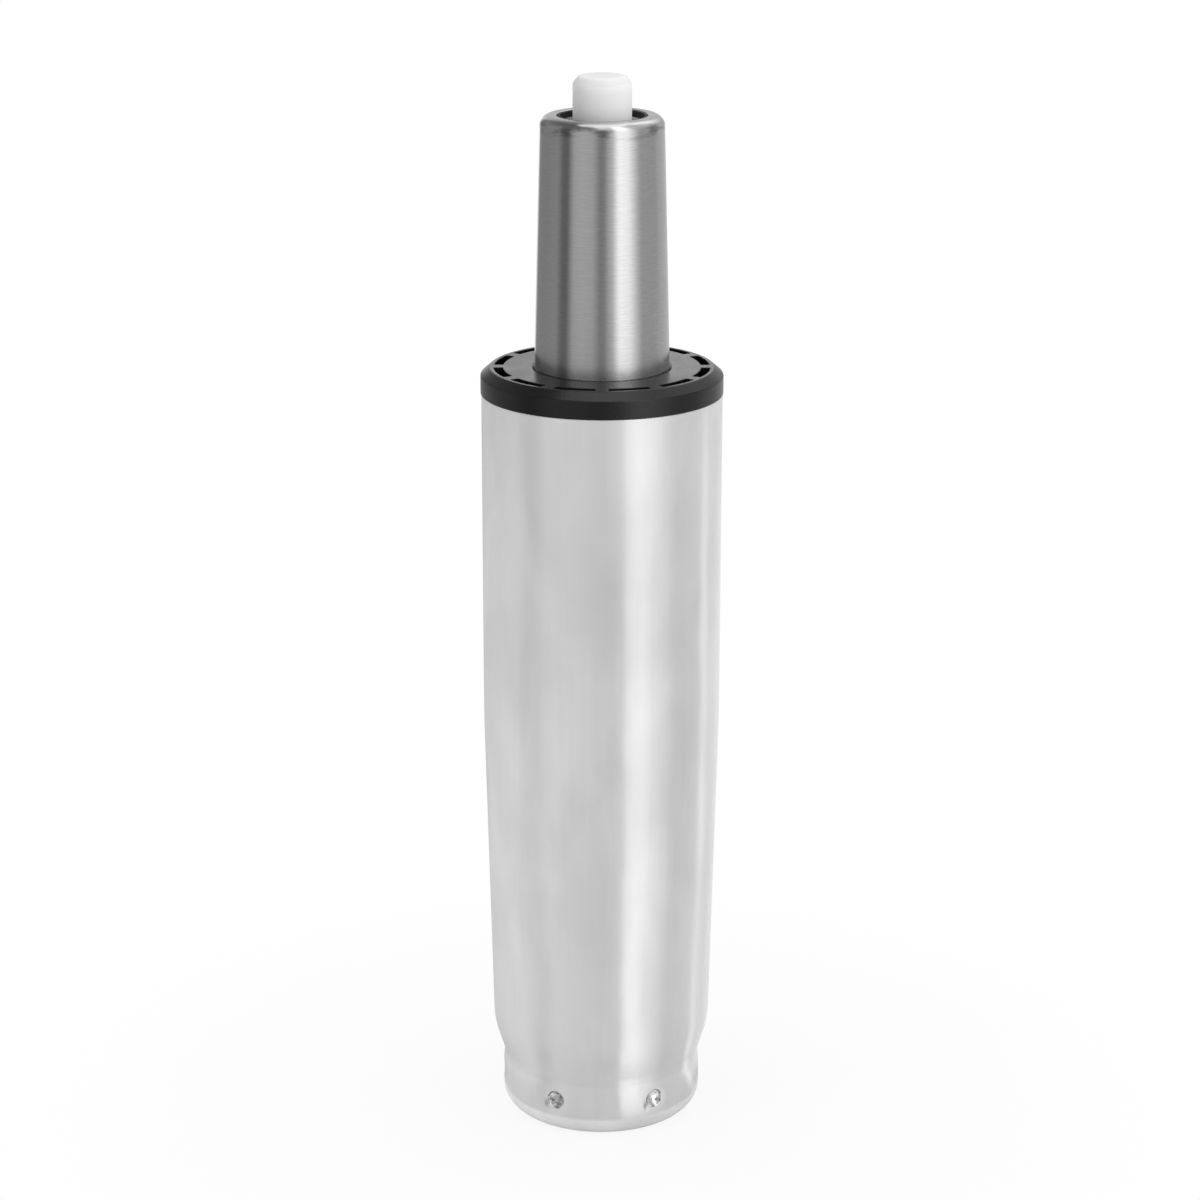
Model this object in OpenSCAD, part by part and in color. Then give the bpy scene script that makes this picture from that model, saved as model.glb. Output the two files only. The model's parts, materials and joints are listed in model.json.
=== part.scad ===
// Gas lift cylinder for a height-adjustable, swivelling chair, drawn in its lowered state.
// The floor plane is z = 0, the lift axis is the Z axis, and all sizes are in millimetres.

/* [Overall] */
// Height from the floor to the top of the release button, lowered
total_h = 225; // [215:1:245]
// Height from the floor to the top of the black collar
column_h = 165; // [155:1:175]
// Travel of the pressure cylinder out of the column
stroke = 60; // [40:1:70]

/* [Column tube] */
// Outside diameter of the straight part of the column tube
tube_d = 50; // [48:0.5:54]
// Wall of the column tube
tube_wall = 1.8; // [1.5:0.1:2.1]
// Length on which a cone loses one millimetre of diameter, the same for the base cone and the seat cone
taper_ratio = 20; // [18:0.5:24]
// Height at which the base cone starts below the straight part
base_cone_top = 90; // [75:1:105]
// Slope of the shoulder between the base cone and the neck, in degrees from the vertical
shoulder_angle = 18; // [14:1:24]
// Radius that blends the base cone into the shoulder
shoulder_blend = 18; // [8:1:22]
// How far the neck's surface lies inside that of the straight part
neck_in = 4.05; // [3.5:0.05:4.5]
// Radius in the neck
neck_blend = 5; // [3:0.5:8]
// How far the foot around the bottom plate stands out beyond the neck
foot_bulge = 0.35; // [0.2:0.05:0.7]
// Outside radius of the rolled rim
rim_roll = 5; // [4.6:0.1:6]
// Width of the flat ring under the rolled rim
rim_flat = 2.8; // [1:0.1:3]

/* [Punched dents] */
// Number of dents that lock the bottom plate
dent_count = 6; // [3:1:8]
// Angle by which the ring of dents is turned, in degrees
dent_turn = 2.5; // [0:0.5:30]
// Height of the dents above the underside of the bottom plate
dent_rise = 6.4; // [6.2:0.1:6.6]
// Diameter of a dent at the outside of the tube
dent_d = 3.8; // [3.2:0.1:3.9]
// Diameter of the punch's blunt tip
dent_tip_d = 1.6; // [1:0.1:2]
// Depth of a dent
dent_depth = 1.6; // [1.3:0.1:1.8]

/* [Bottom plate] */
// Height of the bottom plate
plate_h = 9.4; // [9.3:0.1:10.2]
// Rise of the neck above the top of the bottom plate
neck_rise = 1.7; // [1.4:0.1:2.2]
// Thickness of the plate's middle, which carries the bearing
plate_web = 4.3; // [3.6:0.1:4.8]
// Chamfer of the plate's upper edge
plate_chamfer = 0.9; // [0.8:0.05:1]
// Diameter of the recess for the clip under the plate
plate_recess_d = 22; // [20:0.5:24]

/* [Guide sleeve] */
// How far the collar's skirt stands out beyond the column tube
collar_lip = 0.15; // [0.1:0.05:0.5]
// Height of the collar above the column tube
collar_h = 5.4; // [4.6:0.1:7]
// Height of the collar's bevel
bevel_h = 1.65; // [1.2:0.05:2.2]
// Width of the collar's bevel, seen from above
bevel_w = 1.95; // [1.2:0.05:2.2]
// Length of the whole sleeve
sleeve_len = 80; // [60:1:90]
// Number of slots in the collar, with a rib between each two pockets
slot_count = 12; // [8:1:16]
// Arc that one slot covers, in degrees
slot_arc = 23; // [12:1:24]
// Width of a slot, from its inner edge to its outer edge
slot_w = 1.9; // [1.4:0.1:2.3]
// Distance from the slots to the collar's bevel
slot_margin = 0.8; // [0.6:0.1:1.4]
// Thickness of the sleeve's inner wall
sleeve_in_wall = 2; // [1.5:0.1:2.5]
// Thickness of the sleeve's outer wall
sleeve_out_wall = 1.4; // [1:0.1:1.8]
// Thickness of the sleeve's ribs
rib_t = 1.6; // [1.2:0.1:2]
// Thickness of the collar's top, over the pockets
collar_top_t = 2.6; // [2:0.1:4]
// Length of each of the two bands that guide the cylinder
guide_band = 14; // [10:1:20]
// Depth of the relief between the guide bands
guide_relief = 0.3; // [0.2:0.05:0.5]

/* [Pressure cylinder] */
// Outside diameter of the pressure cylinder
cyl_d = 28; // [27.8:0.1:28.6]
// Wall of the pressure cylinder
cyl_wall = 2; // [1.8:0.1:2.2]
// Length of the seat cone below the cylinder's top
seat_cone_h = 52; // [44:1:56]
// Outside radius of the shoulder at the cylinder's top
cyl_shoulder = 1.1; // [0.8:0.1:2.4]
// Diameter of the mouth in the cylinder's top
mouth_d = 18.6; // [18:0.1:18.6]
// Radius of the rolled bottom edge of the cylinder
cyl_foot_roll = 2.8; // [2.4:0.1:3.2]
// Diameter of the opening in the cylinder's bottom
cyl_foot_d = 15; // [14:0.5:17]
// Inside diameter of the inner tube
bore_d = 20; // [19.6:0.1:20.2]
// Wall of the inner tube
bore_wall = 1; // [0.8:0.1:1.1]

/* [Release button] */
// Height of the button above the cylinder's top
button_show = 7.9; // [6:0.1:10]
// Diameter of the button
button_d = 12.2; // [11.4:0.1:12.6]
// Chamfer around the button's top
button_chamfer = 1.8; // [1:0.1:2.4]
// Travel of the button when the lever presses it
button_travel = 3; // [2:0.1:3.5]
// Diameter of the button's flange under the top washer
button_flange_d = 15; // [14.6:0.1:15.4]
// Height of the button's flange
button_flange_h = 2.4; // [2:0.1:3]
// Diameter of the valve pin
pin_d = 5; // [4.4:0.1:5.2]
// Depth to which the pin sits in the button
pin_socket = 7; // [5:0.5:8]

/* [Piston rod and piston] */
// Diameter of the piston rod
rod_d = 10; // [9.6:0.1:10.4]
// Diameter of the rod's lower neck and of its upper spigot
rod_neck_d = 8; // [7.4:0.1:8.4]
// Length of the rod below its clip
rod_tail = 2.4; // [1.6:0.1:3]
// Height of the piston
piston_h = 12; // [11:0.5:16]
// Width of the hexagon nut across its corners
nut_d = 14; // [13:0.5:15]
// Height of the hexagon nut
nut_h = 6; // [5:0.5:7]

/* [Swivel bearing] */
// Diameter of the bearing balls
ball_d = 4; // [3.6:0.1:4.2]
// Number of balls
ball_count = 12; // [8:1:12]
// Diameter of the circle through the balls
ball_circle_d = 18.6; // [18.4:0.1:19.4]
// Outside diameter of the bearing races
race_d = 26; // [25:0.5:28]
// Thickness of a bearing race
race_t = 1.6; // [1.4:0.1:2]
// Depth of the groove in a race
race_groove = 0.4; // [0.3:0.05:0.5]
// Thickness of the ball retainer
retainer_t = 1.4; // [1:0.1:1.8]

/* [Rubber bumper] */
// Height of the rubber bumper
bumper_h = 9.1; // [7:0.1:12]
// Diameter of the rubber bumper
bumper_d = 25; // [23:0.5:27]
// Thickness of the washer on the bumper
bumper_washer_t = 1; // [0.8:0.1:1.5]

/* [Seals and washers] */
// Distance from the button's well down to the body seal
body_seal_drop = 8; // [6:0.5:9]
// Distance from the button's well down to the pin seal
pin_seal_drop = 14; // [12:0.5:15]
// Distance from the button's well down to the cross ports
port_drop = 22; // [21:0.5:24]
// Diameter of a cross port
port_d = 2; // [1.6:0.1:2.4]
// Length of the valve body's spigot inside the inner tube
valve_spigot_h = 6; // [5:0.5:8]
// Thickness of the washer that backs the rod seal
seal_washer_t = 1.5; // [1.2:0.1:2]
// Height of the rod seal
rod_seal_h = 6; // [5:0.5:8]
// Height of the rod guide's flange
guide_flange_h = 6.4; // [5:0.2:8]
// Height of the rod guide's spigot inside the inner tube
guide_spigot_h = 6; // [5:0.5:8]
// Thickness of the washer around the button
top_washer_t = 1.6; // [1.4:0.1:2]
// Height by which the middle of the top washer stands up in the mouth
top_washer_step = 0.7; // [0.3:0.1:1]
// Height of the black dust ring in the mouth
dust_ring_h = 1.9; // [1.2:0.1:1.9]
// Width of the black dust ring
dust_ring_w = 0.6; // [0.5:0.1:0.9]
// Thickness of the clip under the bottom plate
clip_t = 1.2; // [1:0.1:1.4]
// Thickness of the washer under the bottom plate
clip_washer_t = 1; // [0.8:0.1:1.2]
// Diameter of that washer
clip_washer_d = 17; // [15:0.5:18]

/* [Fits] */
// Radial clearance of a running or sliding fit
run_fit = 0.05; // [0.03:0.01:0.08]
// Radial clearance round a piece that only has to pass
loose_fit = 0.3; // [0.2:0.05:0.4]
// Radial clearance between pieces that are fixed together
seat_fit = 0.05; // [0.02:0.01:0.08]
// Axial gap between pieces that turn or land on each other
end_gap = 0.2; // [0.1:0.05:0.3]

/* [Hidden] */
$fn = 96;

tube_r = tube_d / 2;
neck_r = tube_r - neck_in;
foot_r = neck_r + foot_bulge;
cyl_r = cyl_d / 2;
rod_r = rod_d / 2;
rod_neck_r = rod_neck_d / 2;
bore_r = bore_d / 2;
pin_r = pin_d / 2;
button_r = button_d / 2;
edge = 0.3;                                 // small chamfer on turned and moulded edges
arc_steps = 8;                              // steps in which a blend is drawn
past = 1;                                   // how far a cutting shape reaches past the surface it cuts

// Column, from the floor up
plate_z0 = tube_wall;
plate_z1 = plate_z0 + plate_h;
web_z0 = plate_z1 - plate_web;
neck_z = plate_z1 + neck_rise;
foot_top_z = plate_z1 - plate_chamfer + 0.2;
dent_z = plate_z0 + dent_rise;
tube_z1 = column_h - collar_h;
cone_slope = 1 / (2 * taper_ratio);
plate_r = foot_r - tube_wall - seat_fit;

// Swivel bearing and bumper, from the bottom plate up
groove_r = ball_d / 2 + run_fit;
ball_z = plate_z1 + race_t + groove_r - race_groove;
race_gap = 2 * (groove_r - race_groove);
upper_race_z0 = plate_z1 + race_t + race_gap;
rod_shoulder_z = upper_race_z0 + race_t;
bumper_z1 = rod_shoulder_z + bumper_h;
landing_z = bumper_z1 + bumper_washer_t;

// Pressure cylinder, from its bottom edge up
cyl_z0 = landing_z + end_gap;
seal_washer_z0 = cyl_z0 + cyl_wall;
rod_seal_z0 = seal_washer_z0 + seal_washer_t;
guide_z0 = rod_seal_z0 + rod_seal_h;
inner_z0 = guide_z0 + guide_flange_h;
guide_z1 = inner_z0 + guide_spigot_h;
cyl_in_r = cyl_r - cyl_wall;

// Pressure cylinder, from its top edge down
cyl_z1 = total_h - button_show;
cap_z = cyl_z1 - cyl_wall;                  // underside of the turned-in top
valve_z1 = cap_z - top_washer_t;
flange_z1 = valve_z1 - end_gap;
flange_z0 = flange_z1 - button_flange_h;
button_well_z = flange_z0 - button_travel - end_gap;
seal_groove_z = button_well_z - body_seal_drop;
pin_seal_z = button_well_z - pin_seal_drop;
port_z = button_well_z - port_drop;         // cross ports to the gap round the inner tube
inner_z1 = port_z - 1.5 * port_d;
spigot_groove_z = inner_z1 - valve_spigot_h / 2;
valve_z0 = inner_z1 - valve_spigot_h;
seat_h = valve_spigot_h / 2;                // height of the valve's conical seat
pin_z0 = valve_z0 - seat_h / 3;
seat_cone_z0 = cyl_z1 - seat_cone_h;
cone_top_r = cyl_r - seat_cone_h * cone_slope;

// Piston, which meets the rod guide when the cylinder is fully raised
piston_z0 = guide_z1 + stroke + end_gap;
piston_z1 = piston_z0 + piston_h;
piston_r = bore_r - run_fit;
seal_depth = 1.75;
ring_depth = 0.7;
seal_h = 2.2;
ring_h = 3;

// Guide sleeve
sleeve_z0 = column_h - sleeve_len;
sleeve_bore_r = cyl_r + run_fit;
sleeve_r = tube_r - tube_wall - seat_fit;
sleeve_foot_r = sleeve_r - max(0, base_cone_top - sleeve_z0) * cone_slope;

o_ring_r = 0.9;                             // half the cord diameter of the valve's seals
cord_gap = 0.04;                            // gap between a seal's cord and the walls round it

// Inside radius of the pressure cylinder, which follows its outside cone
function cyl_inside(z) = cyl_in_r - max(0, z - seat_cone_z0) * cone_slope;

function unit(v) = v / norm(v);
function between(a, b, share) = a + (b - a) * share;

// Arc of radius r that rounds the corner q of the path p, q, s
function fillet(p, q, s, r) =
    let (
        u = unit(p - q),
        v = unit(s - q),
        half = acos(max(-1, min(1, u * v))) / 2,
        middle = q + unit(u + v) * r / sin(half),
        first = q + u * r / tan(half) - middle,
        last = q + v * r / tan(half) - middle,
        a = atan2(first[1], first[0]),
        turn = (atan2(last[1], last[0]) - a + 540) % 360 - 180
    )
    [for (i = [0:arc_steps]) let (t = a + turn * i / arc_steps) middle + r * [cos(t), sin(t)]];

// Open path with its corners rounded: each point is [r, z, fillet radius]
function rounded(path) =
    [for (i = [0:len(path) - 1])
        let (p = path[i], q = [p[0], p[1]])
        each (i == 0 || i == len(path) - 1 || p[2] == 0)
            ? [q]
            : fillet([path[i - 1][0], path[i - 1][1]], q, [path[i + 1][0], path[i + 1][1]], p[2])];

// The same path moved sideways by d, to its right as it is walked
function parallel(path, d) =
    [for (i = [0:len(path) - 1])
        let (
            before = unit(path[max(i, 1)] - path[max(i, 1) - 1]),
            after = unit(path[min(i, len(path) - 2) + 1] - path[min(i, len(path) - 2)]),
            along = unit(before + after),
            right = [along[1], -along[0]]
        )
        path[i] + right * d / (along * after)];

function reversed(list) = [for (i = [len(list) - 1:-1:0]) list[i]];

// Sheet metal of an even wall, turned round the axis
module turned_sheet(path, wall) {
    rotate_extrude()
        polygon(concat(path, reversed(parallel(path, wall))));
}

// Plain ring with small chamfers on its four edges
module ring(r_in, r_out, z0, z1, c = edge) {
    rotate_extrude()
        polygon([
            [r_in + c, z0], [r_out - c, z0], [r_out, z0 + c], [r_out, z1 - c],
            [r_out - c, z1], [r_in + c, z1], [r_in, z1 - c], [r_in, z0 + c]
        ]);
}

module torus(r_middle, z, r_cord) {
    rotate_extrude()
        translate([r_middle, z])
            circle(r = r_cord);
}

module around(count, start = 0) {
    for (i = [0:count - 1])
        rotate([0, 0, start + i * 360 / count])
            children();
}

// Column

// Height at which the line of the base cone meets the line of the shoulder
shoulder_z = (tube_r - base_cone_top * cone_slope - neck_r + neck_z * tan(shoulder_angle))
    / (tan(shoulder_angle) - cone_slope);
shoulder_r = tube_r - (base_cone_top - shoulder_z) * cone_slope;

tube_path = rounded([
    [tube_r, tube_z1, 0],
    [tube_r, base_cone_top, 0],
    [shoulder_r, shoulder_z, shoulder_blend],
    [neck_r, neck_z, neck_blend],
    [foot_r, foot_top_z, neck_blend],
    [foot_r, 0, rim_roll],
    [foot_r - rim_roll - rim_flat, 0, 0]
]);

module radial_cone(r_from, d_from, r_to, d_to, z) {
    translate([r_from, 0, z])
        rotate([0, 90, 0])
            cylinder(d1 = d_from, d2 = d_to, h = r_to - r_from, $fn = 48);
}

// The punch tip, drawn past the tube's outside so that it cuts cleanly
module dent_pit() {
    flare = (dent_d - dent_tip_d) / dent_depth;
    radial_cone(foot_r - dent_depth, dent_tip_d, foot_r + past, dent_d + past * flare, dent_z);
}

// The metal that the punch pushes inwards, into the groove of the bottom plate
boss_tip_r = foot_r - tube_wall - dent_depth * 0.75;
boss_root_r = foot_r - tube_wall + 0.4;
module dent_boss() {
    radial_cone(boss_tip_r, dent_tip_d + 0.4, boss_root_r, dent_d + 0.4, dent_z);
}

module outer_tube() {
    color("gainsboro")
        difference() {
            union() {
                turned_sheet(tube_path, tube_wall);
                around(dent_count, dent_turn) dent_boss();
            }
            around(dent_count, dent_turn) dent_pit();
        }
}

module bottom_plate() {
    nest = rim_roll - tube_wall + 0.2;
    groove_half = dent_d / 2 + 0.2 + seat_fit;
    groove_floor = boss_tip_r - seat_fit - 0.1;
    groove_floor_half = dent_tip_d / 2 + 0.2 + seat_fit;
    top_r = plate_r - plate_chamfer;
    color("darkgray")
        difference() {
            rotate_extrude()
                polygon(concat(
                    [[rod_neck_r + run_fit, web_z0], [plate_recess_d / 2, web_z0]],
                    rounded([
                        [plate_recess_d / 2, plate_z0, 0],
                        [plate_r, plate_z0, nest],
                        [plate_r, dent_z, 0]
                    ]),
                    [
                        [plate_r, plate_z1 - plate_chamfer], [top_r, plate_z1],
                        [rod_neck_r + run_fit + edge, plate_z1], [rod_neck_r + run_fit, plate_z1 - edge]
                    ]
                ));
            rotate_extrude()
                polygon([
                    [groove_floor, dent_z - groove_floor_half],
                    [plate_r, dent_z - groove_half],
                    [plate_r + past, dent_z - groove_half],
                    [plate_r + past, dent_z + groove_half],
                    [plate_r, dent_z + groove_half],
                    [groove_floor, dent_z + groove_floor_half]
                ]);
        }
}

// Guide sleeve

collar_r = tube_r + collar_lip;
slot_r = collar_r - bevel_w - slot_margin - slot_w;

module sleeve_slot() {
    rotate([0, 0, -slot_arc / 2])
        rotate_extrude(angle = slot_arc)
            translate([slot_r, column_h - collar_top_t - past])
                square([slot_w, collar_top_t + 2 * past]);
}

module sleeve_rib() {
    r0 = sleeve_bore_r + sleeve_in_wall / 2;
    r1 = sleeve_r - sleeve_out_wall + 0.3;
    translate([r0, -rib_t / 2, sleeve_z0 + 3])
        cube([r1 - r0, rib_t, sleeve_len - 3 - collar_top_t / 2]);
}

module guide_sleeve() {
    in_r = sleeve_bore_r + sleeve_in_wall;
    out_r = sleeve_r - sleeve_out_wall;
    color("#202022")
        difference() {
            union() {
                // bore wall with its guide bands, collar and outer wall
                rotate_extrude()
                    polygon(concat(
                        [
                            [sleeve_bore_r + edge, sleeve_z0], [in_r, sleeve_z0],
                            [in_r, column_h - collar_top_t], [out_r, column_h - collar_top_t],
                            [out_r, sleeve_z0], [sleeve_foot_r - edge, sleeve_z0],
                            [sleeve_foot_r, sleeve_z0 + edge],
                            [sleeve_r, max(base_cone_top, sleeve_z0 + 1)], [sleeve_r, tube_z1]
                        ],
                        rounded([
                            [collar_r - 0.15, tube_z1, 0],
                            [collar_r, tube_z1 + 0.15, 0],
                            [collar_r, column_h - bevel_h, 0.4],
                            [collar_r - bevel_w, column_h, 0.5],
                            [sleeve_bore_r + 2 * edge, column_h, 0]
                        ]),
                        [
                            [sleeve_bore_r, column_h - 2 * edge],
                            [sleeve_bore_r, column_h - guide_band],
                            [sleeve_bore_r + guide_relief, column_h - guide_band - guide_relief],
                            [sleeve_bore_r + guide_relief, sleeve_z0 + guide_band + guide_relief],
                            [sleeve_bore_r, sleeve_z0 + guide_band],
                            [sleeve_bore_r, sleeve_z0 + edge]
                        ]
                    ));
                around(slot_count) sleeve_rib();
            }
            around(slot_count, 180 / slot_count) sleeve_slot();
        }
}

// Swivel bearing

// Washer with a ball groove: the upper one sits on the rod, the lower one clears it
module race(z0, bore_fit) {
    difference() {
        ring(rod_neck_r + bore_fit, race_d / 2, z0, z0 + race_t);
        torus(ball_circle_d / 2, ball_z, groove_r);
    }
}

module lower_race() {
    color("silver") race(plate_z1, loose_fit);
}

module upper_race() {
    color("silver") race(upper_race_z0, seat_fit);
}

module ball_retainer() {
    half_w = ball_d / 2 + 0.7;
    color("goldenrod")
        difference() {
            ring(
                ball_circle_d / 2 - half_w, ball_circle_d / 2 + half_w,
                ball_z - retainer_t / 2, ball_z + retainer_t / 2, 0.15
            );
            around(ball_count)
                translate([ball_circle_d / 2, 0, ball_z - retainer_t])
                    cylinder(r = groove_r, h = 2 * retainer_t, $fn = 48);
        }
}

module bearing_balls() {
    color("lightgray")
        around(ball_count)
            translate([ball_circle_d / 2, 0, ball_z])
                sphere(d = ball_d, $fn = 48);
}

// Rubber bumper

module rubber_bumper() {
    waist = 1.2;
    color("#2b2b2b")
        rotate_extrude()
            polygon(concat(
                [[rod_r + seat_fit, bumper_z1], [rod_r + seat_fit, rod_shoulder_z]],
                rounded([
                    [bumper_d / 2, rod_shoulder_z, 0],
                    [bumper_d / 2, rod_shoulder_z + bumper_h * 0.3, 1],
                    [bumper_d / 2 - waist, rod_shoulder_z + bumper_h / 2, 1.5],
                    [bumper_d / 2, rod_shoulder_z + bumper_h * 0.7, 1],
                    [bumper_d / 2, bumper_z1, 0]
                ])
            ));
}

module bumper_washer() {
    color("darkgray") ring(rod_r + seat_fit, bumper_d / 2 - 0.5, bumper_z1, landing_z, 0.2);
}

// Piston rod, with the clip groove at its lower end and the piston's spigot at its top

clip_z1 = web_z0 - end_gap - clip_washer_t;
clip_z0 = clip_z1 - clip_t;
rod_end_z = clip_z0 - rod_tail;
clip_neck_r = rod_neck_r - 1;
spigot_z1 = piston_z1 + nut_h + 1.5;

module piston_rod() {
    color("silver")
        rotate_extrude()
            polygon([
                [0, rod_end_z], [rod_neck_r - edge, rod_end_z], [rod_neck_r, rod_end_z + edge],
                [rod_neck_r, clip_z0 - seat_fit], [clip_neck_r, clip_z0 - seat_fit],
                [clip_neck_r, clip_z1 + seat_fit], [rod_neck_r, clip_z1 + seat_fit],
                [rod_neck_r, rod_shoulder_z], [rod_r, rod_shoulder_z],
                [rod_r, piston_z0 - edge], [rod_r - edge, piston_z0],
                [rod_neck_r, piston_z0], [rod_neck_r, spigot_z1 - 2 * edge],
                [rod_neck_r - 2 * edge, spigot_z1], [0, spigot_z1]
            ]);
}

// Spring clip that slides sideways into the rod's groove
module rod_clip() {
    clip_r = clip_neck_r + 3.4;
    color("dimgray")
        translate([0, 0, clip_z0])
            linear_extrude(height = clip_t)
                difference() {
                    circle(r = clip_r);
                    circle(r = clip_neck_r + seat_fit);
                    translate([0, -clip_neck_r * 0.86])
                        square([clip_r + past, 2 * clip_neck_r * 0.86]);
                    for (side = [-1, 1])
                        translate([-clip_r * 0.32, side * clip_r * 0.98])
                            circle(r = 1.3);
                }
}

module clip_washer() {
    out_r = clip_washer_d / 2;
    color("darkgray") ring(rod_neck_r + seat_fit, out_r, clip_z1, clip_z1 + clip_washer_t, 0.15);
}

// Piston, its seal, its wear ring and its nut

seal_z = piston_z0 + 3.6;
ring_z0 = piston_z1 - 2 - ring_h;

module piston() {
    color("lightsteelblue")
        difference() {
            ring(rod_neck_r + seat_fit, piston_r, piston_z0, piston_z1);
            rotate_extrude() {
                translate([piston_r - seal_depth, seal_z - seal_h / 2])
                    square([seal_depth + past, seal_h]);
                translate([piston_r - ring_depth, ring_z0])
                    square([ring_depth + past, ring_h]);
            }
        }
}

module piston_seal() {
    color("black") torus(piston_r - seal_depth / 2, seal_z, seal_depth / 2 - cord_gap);
}

module piston_ring() {
    color("peru") ring(piston_r - ring_depth, piston_r, ring_z0, ring_z0 + ring_h, 0.1);
}

module piston_nut() {
    color("gray")
        difference() {
            translate([0, 0, piston_z1])
                cylinder(d = nut_d, h = nut_h, $fn = 6);
            translate([0, 0, piston_z1 - past])
                cylinder(r = rod_neck_r + seat_fit, h = nut_h + 2 * past);
        }
}

// Pressure cylinder, with the seat cone above the collar

cyl_shoulder_r = min(cyl_shoulder, cone_top_r - mouth_d / 2 - 0.05);
cyl_corner = 0.2;                           // inside corner under the turned-in top

cylinder_outside = rounded([
    [mouth_d / 2 + 0.15, cyl_z1, 0],
    [cone_top_r, cyl_z1, cyl_shoulder_r],
    [cyl_r, seat_cone_z0, 0],
    [cyl_r, cyl_z0, cyl_foot_roll],
    [cyl_foot_d / 2, cyl_z0, 0]
]);
cylinder_inside = rounded([
    [cyl_foot_d / 2, cyl_z0 + cyl_wall, 0],
    [cyl_in_r, cyl_z0 + cyl_wall, max(cyl_foot_roll - cyl_wall, 0.1)],
    [cyl_in_r, seat_cone_z0, 0],
    [cyl_inside(cap_z), cap_z, cyl_corner],
    [mouth_d / 2, cap_z, 0],
    [mouth_d / 2, cyl_z1 - 0.15, 0]
]);

module pressure_cylinder() {
    color("darkgray")
        rotate_extrude()
            polygon(concat(cylinder_outside, cylinder_inside));
}

module inner_tube() {
    color("silver") ring(bore_r, bore_r + bore_wall, inner_z0, inner_z1, 0.15);
}

// Rod guide: a flange that centres both tubes, and a spigot with flow notches
module rod_guide() {
    notch_w = 2.4;
    notch_depth = 2;
    color("ivory")
        difference() {
            rotate_extrude()
                polygon([
                    [rod_r + run_fit + edge, guide_z0], [cyl_in_r - seat_fit, guide_z0],
                    [cyl_in_r - seat_fit, inner_z0], [bore_r - seat_fit, inner_z0],
                    [bore_r - seat_fit, guide_z1 - edge], [bore_r - seat_fit - edge, guide_z1],
                    [rod_r + run_fit + edge, guide_z1], [rod_r + run_fit, guide_z1 - edge],
                    [rod_r + run_fit, guide_z0 + edge]
                ]);
            around(4)
                translate([bore_r - notch_depth, -notch_w / 2, inner_z0 - 1.2])
                    cube([cyl_r, notch_w, guide_spigot_h + 1.2 + past]);
        }
}

// Lip seal: a sleeve that closes on the rod, with a groove that the pressure opens
module rod_seal() {
    out_r = cyl_in_r - seat_fit;
    in_r = rod_r + run_fit;
    mid_r = (out_r + in_r) / 2;
    lip = rod_seal_h * 0.45;
    color("#1c1c1c")
        rotate_extrude()
            polygon([
                [in_r + 0.4, rod_seal_z0], [out_r, rod_seal_z0], [out_r, guide_z0],
                [mid_r + 1.2, guide_z0], [mid_r + 0.6, guide_z0 - lip], [mid_r - 0.6, guide_z0 - lip],
                [mid_r - 1.2, guide_z0], [in_r + 0.9, guide_z0], [in_r, guide_z0 - 0.9],
                [in_r, guide_z0 - 1.6], [in_r + 0.4, guide_z0 - lip]
            ]);
}

// The cylinder's bottom edge is rolled, so the washer's lower corner is turned to match it
module seal_washer() {
    out_r = cyl_in_r - seat_fit;
    nest = min(max(cyl_foot_roll - cyl_wall, 0.1) + seat_fit, seal_washer_t - 0.2);
    color("darkgray")
        rotate_extrude()
            polygon([
                [rod_r + loose_fit, seal_washer_z0], [out_r - nest, seal_washer_z0],
                [out_r, seal_washer_z0 + nest], [out_r, rod_seal_z0], [rod_r + loose_fit, rod_seal_z0]
            ]);
}

// Valve body: it follows the cone, holds the two body seals and the pin seal, and has the cross ports
body_gap = 0.08;
function body_r(z) = cyl_inside(z) - body_gap;
step_r = bore_r + bore_wall - 0.05;
step_z = port_z + 1.5 * port_d;
seat_r = pin_r + 1.4;
groove_h = 2 * (o_ring_r + cord_gap);
body_ring_r = body_r(seal_groove_z) - o_ring_r;
spigot_ring_r = bore_r - seat_fit - o_ring_r;
pin_ring_r = pin_r + run_fit + o_ring_r;

module o_ring_groove(r_in, r_out, z) {
    rotate_extrude()
        translate([r_in, z - groove_h / 2])
            square([r_out - r_in, groove_h]);
}

module valve_body() {
    well_r = button_flange_d / 2 + 0.3;
    color("tan")
        difference() {
            rotate_extrude()
                polygon([
                    [pin_r + run_fit, valve_z0 + seat_h],
                    [seat_r, valve_z0 + seat_h / 2], [seat_r, valve_z0],
                    [bore_r - seat_fit - edge, valve_z0], [bore_r - seat_fit, valve_z0 + edge],
                    [bore_r - seat_fit, inner_z1], [step_r, inner_z1],
                    [step_r, step_z], [body_r(step_z + 1), step_z + 1],
                    [body_r(valve_z1 - edge), valve_z1 - edge], [body_r(valve_z1) - edge, valve_z1],
                    [well_r, valve_z1], [well_r, button_well_z],
                    [pin_r + run_fit, button_well_z]
                ]);
            o_ring_groove(body_ring_r - groove_h / 2, cyl_r, seal_groove_z);
            o_ring_groove(spigot_ring_r - groove_h / 2, cyl_r, spigot_groove_z);
            o_ring_groove(pin_r, pin_ring_r + groove_h / 2, pin_seal_z);
            around(4)
                translate([0, 0, port_z])
                    rotate([0, 90, 0])
                        cylinder(d = port_d, h = cyl_r, $fn = 32);
        }
}

module body_o_rings() {
    color("black") {
        torus(body_ring_r, seal_groove_z, o_ring_r);
        torus(spigot_ring_r, spigot_groove_z, o_ring_r);
    }
}

module pin_o_ring() {
    color("black") torus(pin_ring_r, pin_seal_z, o_ring_r);
}

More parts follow.
